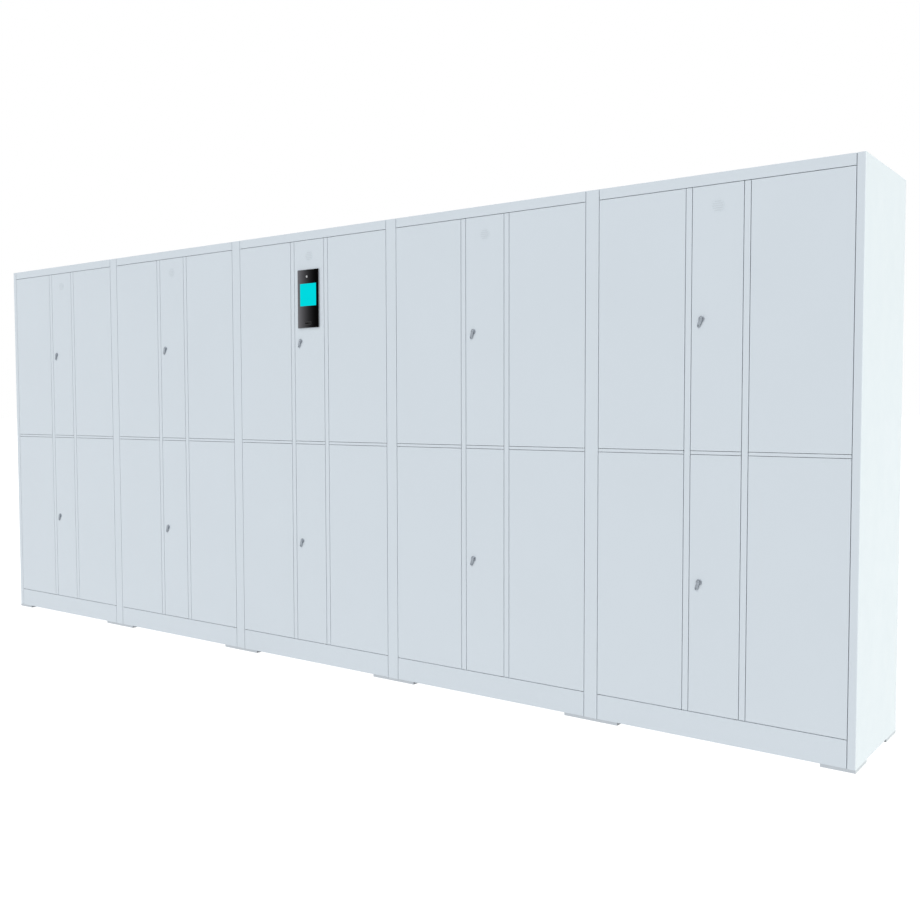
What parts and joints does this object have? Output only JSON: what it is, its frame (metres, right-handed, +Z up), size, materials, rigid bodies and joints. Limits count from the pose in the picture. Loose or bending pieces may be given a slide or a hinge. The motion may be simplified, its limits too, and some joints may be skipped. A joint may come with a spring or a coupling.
{
  "type": "coin operated locker",
  "caption": "Bank of sheet-steel luggage lockers with wide flush doors, narrow key-locked service doors, a coin and touch-screen control panel and flat foot plates.",
  "frame": {"origin": "middle of the bank's footprint, on the floor", "axes": "+X along the bank to the right as seen from the front, +Y to the back, +Z up; the doors face -Y"},
  "size_m": [4.5, 0.4982, 1.85],
  "materials": {
    "cabinet_paint": "satin",
    "foot_paint": "satin",
    "zinc_steel": "satin",
    "lock_chrome": "satin",
    "circuit_board": "satin",
    "black_plastic": "matte",
    "panel_rim": "gloss",
    "panel_glass": "gloss",
    "screen": "gloss",
    "lens": "gloss"
  },
  "bodies": {
    "root": {"side_panels": "cabinet_paint", "top_panels": "cabinet_paint", "base_panels": "cabinet_paint", "back_panels": "cabinet_paint", "column_dividers": "cabinet_paint", "shelves": "cabinet_paint", "front_posts": "cabinet_paint", "front_rails": "cabinet_paint", "foot_plates": "foot_paint", "joining_bolts": "zinc_steel", "hinge_pins": "zinc_steel", "electric_locks": "zinc_steel", "control_electronics": "circuit_board", "mains_inlet": "black_plastic", "coin_box": "zinc_steel"},
    "door_1_upper_left": {"door_1_upper_left": "cabinet_paint"},
    "door_1_upper_right": {"door_1_upper_right": "cabinet_paint"},
    "service_door_1_upper": {"service_door_1_upper": "cabinet_paint"},
    "key_lock_1_upper": {"key_lock_1_upper": "lock_chrome"},
    "door_1_lower_left": {"door_1_lower_left": "cabinet_paint"},
    "door_1_lower_right": {"door_1_lower_right": "cabinet_paint"},
    "service_door_1_lower": {"service_door_1_lower": "cabinet_paint"},
    "key_lock_1_lower": {"key_lock_1_lower": "lock_chrome"},
    "door_2_upper_left": {"door_2_upper_left": "cabinet_paint"},
    "door_2_upper_right": {"door_2_upper_right": "cabinet_paint"},
    "service_door_2_upper": {"service_door_2_upper": "cabinet_paint"},
    "key_lock_2_upper": {"key_lock_2_upper": "lock_chrome"},
    "door_2_lower_left": {"door_2_lower_left": "cabinet_paint"},
    "door_2_lower_right": {"door_2_lower_right": "cabinet_paint"},
    "service_door_2_lower": {"service_door_2_lower": "cabinet_paint"},
    "key_lock_2_lower": {"key_lock_2_lower": "lock_chrome"},
    "door_3_upper_left": {"door_3_upper_left": "cabinet_paint"},
    "door_3_upper_right": {"door_3_upper_right": "cabinet_paint"},
    "service_door_3_upper": {"service_door_3_upper": "cabinet_paint", "panel_housing": "panel_rim", "panel_glass": "panel_glass", "touch_screen": "screen", "camera_lens": "lens", "coin_acceptor": "black_plastic"},
    "key_lock_3_upper": {"key_lock_3_upper": "lock_chrome"},
    "door_3_lower_left": {"door_3_lower_left": "cabinet_paint"},
    "door_3_lower_right": {"door_3_lower_right": "cabinet_paint"},
    "service_door_3_lower": {"service_door_3_lower": "cabinet_paint"},
    "key_lock_3_lower": {"key_lock_3_lower": "lock_chrome"},
    "door_4_upper_left": {"door_4_upper_left": "cabinet_paint"},
    "door_4_upper_right": {"door_4_upper_right": "cabinet_paint"},
    "service_door_4_upper": {"service_door_4_upper": "cabinet_paint"},
    "key_lock_4_upper": {"key_lock_4_upper": "lock_chrome"},
    "door_4_lower_left": {"door_4_lower_left": "cabinet_paint"},
    "door_4_lower_right": {"door_4_lower_right": "cabinet_paint"},
    "service_door_4_lower": {"service_door_4_lower": "cabinet_paint"},
    "key_lock_4_lower": {"key_lock_4_lower": "lock_chrome"},
    "door_5_upper_left": {"door_5_upper_left": "cabinet_paint"},
    "door_5_upper_right": {"door_5_upper_right": "cabinet_paint"},
    "service_door_5_upper": {"service_door_5_upper": "cabinet_paint"},
    "key_lock_5_upper": {"key_lock_5_upper": "lock_chrome"},
    "door_5_lower_left": {"door_5_lower_left": "cabinet_paint"},
    "door_5_lower_right": {"door_5_lower_right": "cabinet_paint"},
    "service_door_5_lower": {"service_door_5_lower": "cabinet_paint"},
    "key_lock_5_lower": {"key_lock_5_lower": "lock_chrome"}
  },
  "joints": [
    {"name": "door_1_upper_left_hinge", "type": "hinge", "parent": "root", "child": "door_1_upper_left", "pos_m": [-2.215, -0.2395, 1.38712], "axis": [0, 0, -1], "range_deg": [0, 90]},
    {"name": "door_1_upper_right_hinge", "type": "hinge", "parent": "root", "child": "door_1_upper_right", "pos_m": [-1.385, -0.2395, 1.38712], "axis": [0, 0, 1], "range_deg": [0, 90]},
    {"name": "service_door_1_upper_hinge", "type": "hinge", "parent": "root", "child": "service_door_1_upper", "pos_m": [-1.723, -0.2395, 1.38712], "axis": [0, 0, 1], "range_deg": [0, 90]},
    {"name": "key_lock_1_upper_turn", "type": "hinge", "parent": "service_door_1_upper", "child": "key_lock_1_upper", "pos_m": [-1.8513, -0.245, 1.3885], "axis": [0, -1, 0], "range_deg": [0, 90]},
    {"name": "door_1_lower_left_hinge", "type": "hinge", "parent": "root", "child": "door_1_lower_left", "pos_m": [-2.215, -0.2395, 0.52387], "axis": [0, 0, -1], "range_deg": [0, 90]},
    {"name": "door_1_lower_right_hinge", "type": "hinge", "parent": "root", "child": "door_1_lower_right", "pos_m": [-1.385, -0.2395, 0.52387], "axis": [0, 0, 1], "range_deg": [0, 90]},
    {"name": "service_door_1_lower_hinge", "type": "hinge", "parent": "root", "child": "service_door_1_lower", "pos_m": [-1.723, -0.2395, 0.52387], "axis": [0, 0, 1], "range_deg": [0, 90]},
    {"name": "key_lock_1_lower_turn", "type": "hinge", "parent": "service_door_1_lower", "child": "key_lock_1_lower", "pos_m": [-1.8513, -0.245, 0.5316], "axis": [0, -1, 0], "range_deg": [0, 90]},
    {"name": "door_2_upper_left_hinge", "type": "hinge", "parent": "root", "child": "door_2_upper_left", "pos_m": [-1.315, -0.2395, 1.38712], "axis": [0, 0, -1], "range_deg": [0, 90]},
    {"name": "door_2_upper_right_hinge", "type": "hinge", "parent": "root", "child": "door_2_upper_right", "pos_m": [-0.485, -0.2395, 1.38712], "axis": [0, 0, 1], "range_deg": [0, 90]},
    {"name": "service_door_2_upper_hinge", "type": "hinge", "parent": "root", "child": "service_door_2_upper", "pos_m": [-0.823, -0.2395, 1.38712], "axis": [0, 0, 1], "range_deg": [0, 90]},
    {"name": "key_lock_2_upper_turn", "type": "hinge", "parent": "service_door_2_upper", "child": "key_lock_2_upper", "pos_m": [-0.9513, -0.245, 1.3885], "axis": [0, -1, 0], "range_deg": [0, 90]},
    {"name": "door_2_lower_left_hinge", "type": "hinge", "parent": "root", "child": "door_2_lower_left", "pos_m": [-1.315, -0.2395, 0.52387], "axis": [0, 0, -1], "range_deg": [0, 90]},
    {"name": "door_2_lower_right_hinge", "type": "hinge", "parent": "root", "child": "door_2_lower_right", "pos_m": [-0.485, -0.2395, 0.52387], "axis": [0, 0, 1], "range_deg": [0, 90]},
    {"name": "service_door_2_lower_hinge", "type": "hinge", "parent": "root", "child": "service_door_2_lower", "pos_m": [-0.823, -0.2395, 0.52387], "axis": [0, 0, 1], "range_deg": [0, 90]},
    {"name": "key_lock_2_lower_turn", "type": "hinge", "parent": "service_door_2_lower", "child": "key_lock_2_lower", "pos_m": [-0.9513, -0.245, 0.5316], "axis": [0, -1, 0], "range_deg": [0, 90]},
    {"name": "door_3_upper_left_hinge", "type": "hinge", "parent": "root", "child": "door_3_upper_left", "pos_m": [-0.415, -0.2395, 1.38712], "axis": [0, 0, -1], "range_deg": [0, 90]},
    {"name": "door_3_upper_right_hinge", "type": "hinge", "parent": "root", "child": "door_3_upper_right", "pos_m": [0.415, -0.2395, 1.38712], "axis": [0, 0, 1], "range_deg": [0, 90]},
    {"name": "service_door_3_upper_hinge", "type": "hinge", "parent": "root", "child": "service_door_3_upper", "pos_m": [0.077, -0.2395, 1.38712], "axis": [0, 0, 1], "range_deg": [0, 90]},
    {"name": "key_lock_3_upper_turn", "type": "hinge", "parent": "service_door_3_upper", "child": "key_lock_3_upper", "pos_m": [-0.0513, -0.245, 1.3885], "axis": [0, -1, 0], "range_deg": [0, 90]},
    {"name": "door_3_lower_left_hinge", "type": "hinge", "parent": "root", "child": "door_3_lower_left", "pos_m": [-0.415, -0.2395, 0.52387], "axis": [0, 0, -1], "range_deg": [0, 90]},
    {"name": "door_3_lower_right_hinge", "type": "hinge", "parent": "root", "child": "door_3_lower_right", "pos_m": [0.415, -0.2395, 0.52387], "axis": [0, 0, 1], "range_deg": [0, 90]},
    {"name": "service_door_3_lower_hinge", "type": "hinge", "parent": "root", "child": "service_door_3_lower", "pos_m": [0.077, -0.2395, 0.52387], "axis": [0, 0, 1], "range_deg": [0, 90]},
    {"name": "key_lock_3_lower_turn", "type": "hinge", "parent": "service_door_3_lower", "child": "key_lock_3_lower", "pos_m": [-0.0513, -0.245, 0.5316], "axis": [0, -1, 0], "range_deg": [0, 90]},
    {"name": "door_4_upper_left_hinge", "type": "hinge", "parent": "root", "child": "door_4_upper_left", "pos_m": [0.485, -0.2395, 1.38712], "axis": [0, 0, -1], "range_deg": [0, 90]},
    {"name": "door_4_upper_right_hinge", "type": "hinge", "parent": "root", "child": "door_4_upper_right", "pos_m": [1.315, -0.2395, 1.38712], "axis": [0, 0, 1], "range_deg": [0, 90]},
    {"name": "service_door_4_upper_hinge", "type": "hinge", "parent": "root", "child": "service_door_4_upper", "pos_m": [0.977, -0.2395, 1.38712], "axis": [0, 0, 1], "range_deg": [0, 90]},
    {"name": "key_lock_4_upper_turn", "type": "hinge", "parent": "service_door_4_upper", "child": "key_lock_4_upper", "pos_m": [0.8487, -0.245, 1.3885], "axis": [0, -1, 0], "range_deg": [0, 90]},
    {"name": "door_4_lower_left_hinge", "type": "hinge", "parent": "root", "child": "door_4_lower_left", "pos_m": [0.485, -0.2395, 0.52387], "axis": [0, 0, -1], "range_deg": [0, 90]},
    {"name": "door_4_lower_right_hinge", "type": "hinge", "parent": "root", "child": "door_4_lower_right", "pos_m": [1.315, -0.2395, 0.52387], "axis": [0, 0, 1], "range_deg": [0, 90]},
    {"name": "service_door_4_lower_hinge", "type": "hinge", "parent": "root", "child": "service_door_4_lower", "pos_m": [0.977, -0.2395, 0.52387], "axis": [0, 0, 1], "range_deg": [0, 90]},
    {"name": "key_lock_4_lower_turn", "type": "hinge", "parent": "service_door_4_lower", "child": "key_lock_4_lower", "pos_m": [0.8487, -0.245, 0.5316], "axis": [0, -1, 0], "range_deg": [0, 90]},
    {"name": "door_5_upper_left_hinge", "type": "hinge", "parent": "root", "child": "door_5_upper_left", "pos_m": [1.385, -0.2395, 1.38712], "axis": [0, 0, -1], "range_deg": [0, 90]},
    {"name": "door_5_upper_right_hinge", "type": "hinge", "parent": "root", "child": "door_5_upper_right", "pos_m": [2.215, -0.2395, 1.38712], "axis": [0, 0, 1], "range_deg": [0, 90]},
    {"name": "service_door_5_upper_hinge", "type": "hinge", "parent": "root", "child": "service_door_5_upper", "pos_m": [1.877, -0.2395, 1.38712], "axis": [0, 0, 1], "range_deg": [0, 90]},
    {"name": "key_lock_5_upper_turn", "type": "hinge", "parent": "service_door_5_upper", "child": "key_lock_5_upper", "pos_m": [1.7487, -0.245, 1.3885], "axis": [0, -1, 0], "range_deg": [0, 90]},
    {"name": "door_5_lower_left_hinge", "type": "hinge", "parent": "root", "child": "door_5_lower_left", "pos_m": [1.385, -0.2395, 0.52387], "axis": [0, 0, -1], "range_deg": [0, 90]},
    {"name": "door_5_lower_right_hinge", "type": "hinge", "parent": "root", "child": "door_5_lower_right", "pos_m": [2.215, -0.2395, 0.52387], "axis": [0, 0, 1], "range_deg": [0, 90]},
    {"name": "service_door_5_lower_hinge", "type": "hinge", "parent": "root", "child": "service_door_5_lower", "pos_m": [1.877, -0.2395, 0.52387], "axis": [0, 0, 1], "range_deg": [0, 90]},
    {"name": "key_lock_5_lower_turn", "type": "hinge", "parent": "service_door_5_lower", "child": "key_lock_5_lower", "pos_m": [1.7487, -0.245, 0.5316], "axis": [0, -1, 0], "range_deg": [0, 90]}
  ]
}
